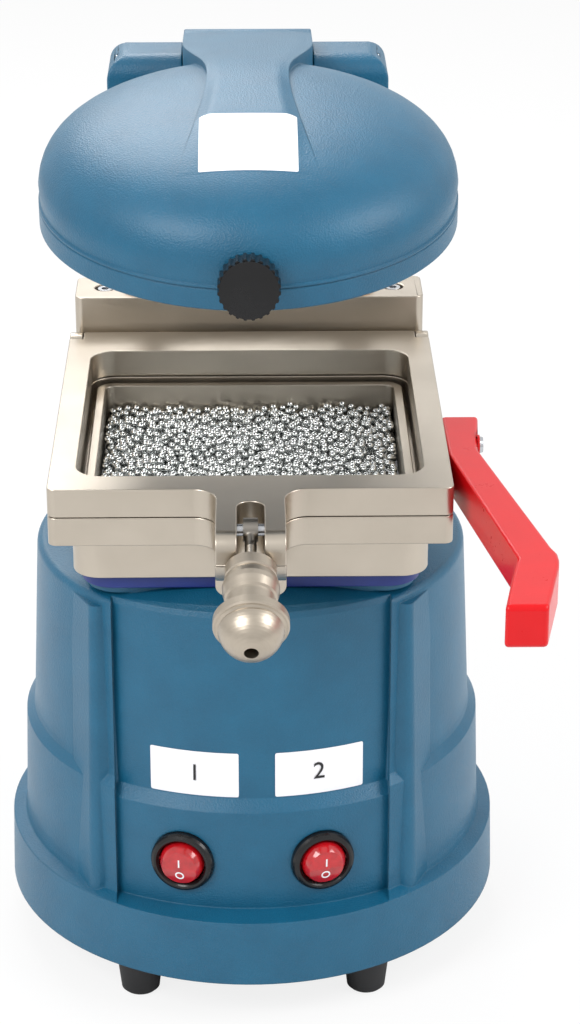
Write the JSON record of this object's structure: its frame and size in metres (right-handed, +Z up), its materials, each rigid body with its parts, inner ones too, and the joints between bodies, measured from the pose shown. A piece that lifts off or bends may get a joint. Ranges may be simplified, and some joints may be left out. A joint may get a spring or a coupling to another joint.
{
  "type": "dental vacuum former",
  "caption": "Bench-top dental vacuum former with a tilting heater head, a hinged sheet frame on guide rods and a steel shot tray over a suction housing.",
  "frame": {"origin": "on the table plane, straight under the middle of the bead tray", "axes": "+Z up, -Y towards the front with the clamp knob and the switches, +X towards the side with the handle"},
  "size_m": [0.1916, 0.279, 0.322],
  "materials": {
    "hammered_blue": "fine textured blue stove enamel over cast aluminium",
    "black_steel": "black painted sheet steel",
    "zinc_steel": "bright zinc plated",
    "black_rubber": "matte black rubber",
    "motor_steel": "plain steel",
    "pressed_aluminium": "pressed sheet aluminium",
    "satin_nickel": "satin champagne nickel over cast aluminium",
    "navy_gasket": "navy rubber",
    "perforated_steel": "stainless sheet",
    "steel_shot": "polished steel shot",
    "ground_steel": "ground steel",
    "black_plastic": "black moulded plastic",
    "red_lens": "translucent red plastic",
    "bronze_bush": "oiled bronze",
    "red_handle": "glossy red moulding",
    "nickel_knob": "satin nickel plated steel",
    "bright_reflector": "bright spun aluminium",
    "element_sheath": "heat darkened steel tube"
  },
  "bodies": {
    "base": {"base_housing": "hammered_blue", "bottom_plate": "black_steel", "bottom_plate_screws": "zinc_steel", "feet": "black_rubber", "foot_screws": "zinc_steel", "motor_case": "motor_steel", "fan_case": "pressed_aluminium", "motor_mount": "black_steel", "motor_seal": "black_rubber", "vacuum_base": "satin_nickel", "platform_gasket": "navy_gasket", "bead_tray": "satin_nickel", "perforated_plate": "perforated_steel", "steel_shot": "steel_shot", "guide_rods": "ground_steel", "head_yoke": "hammered_blue", "yoke_screws": "zinc_steel", "head_hinge_pin": "zinc_steel", "left_switch_bezel": "black_plastic", "right_switch_bezel": "black_plastic", "power_inlet": "black_plastic", "fuse_holder": "black_plastic"},
    "impeller": {"fan_impeller": "pressed_aluminium", "motor_shaft": "motor_steel"},
    "carriage": {"lower_frame": "satin_nickel", "carriage_block": "satin_nickel", "block_screws": "zinc_steel", "guide_bushes": "bronze_bush", "frame_hinge_pin": "zinc_steel"},
    "upper_plate": {"upper_frame": "satin_nickel", "clamp_pivot_pin": "zinc_steel", "handle": "red_handle", "handle_screw": "zinc_steel"},
    "bolt": {"swing_bolt": "ground_steel"},
    "collar": {"clamp_collar": "nickel_knob"},
    "knob": {"clamp_knob": "nickel_knob"},
    "head": {"head_shell": "hammered_blue", "reflector": "bright_reflector", "heating_element": "element_sheath", "element_supports": "zinc_steel", "head_knob": "black_plastic", "head_knob_stud": "zinc_steel"},
    "left_switch": {"left_rocker": "red_lens"},
    "right_switch": {"right_rocker": "red_lens"}
  },
  "joints": [
    {"name": "carriage_lift", "type": "slide", "parent": "base", "child": "carriage", "axis": [0, 0, 1], "range_m": [0, 0.06]},
    {"name": "upper_plate_open", "type": "hinge", "parent": "carriage", "child": "upper_plate", "pos_m": [0, 0.0794, 0.1968], "axis": [-1, 0, 0], "range_deg": [0, 20]},
    {"name": "bolt_swing", "type": "hinge", "parent": "upper_plate", "child": "bolt", "pos_m": [0, -0.0955, 0.1975], "axis": [-1, 0, 0], "range_deg": [-69, 80]},
    {"name": "collar_travel", "type": "slide", "parent": "bolt", "child": "collar", "axis": [0, -0.9336, -0.3584], "range_m": [-0.0006, 0.004]},
    {"name": "knob_turn", "type": "hinge", "parent": "collar", "child": "knob", "pos_m": [0, -0.0955, 0.1975], "axis": [0, -0.9336, -0.3584], "range_deg": [-271, 1801]},
    {"name": "head_tilt", "type": "hinge", "parent": "base", "child": "head", "pos_m": [0, 0.1, 0.304], "axis": [-1, 0, 0], "range_deg": [0, 70]},
    {"name": "left_switch_press", "type": "hinge", "parent": "base", "child": "left_switch", "pos_m": [-0.02495, -0.07702, 0.0595], "axis": [-0.9661, 0.2583, 0], "range_deg": [0, 20]},
    {"name": "right_switch_press", "type": "hinge", "parent": "base", "child": "right_switch", "pos_m": [0.02495, -0.07702, 0.0595], "axis": [-0.9661, -0.2583, 0], "range_deg": [0, 20]},
    {"name": "impeller_spin", "type": "hinge", "parent": "base", "child": "impeller", "pos_m": [0, 0, 0.1], "axis": [0, 0, 1], "continuous": true}
  ],
  "couplings": [
    {"joint": "knob_turn", "follows": "collar_travel", "rad_per_m": 7854}
  ]
}
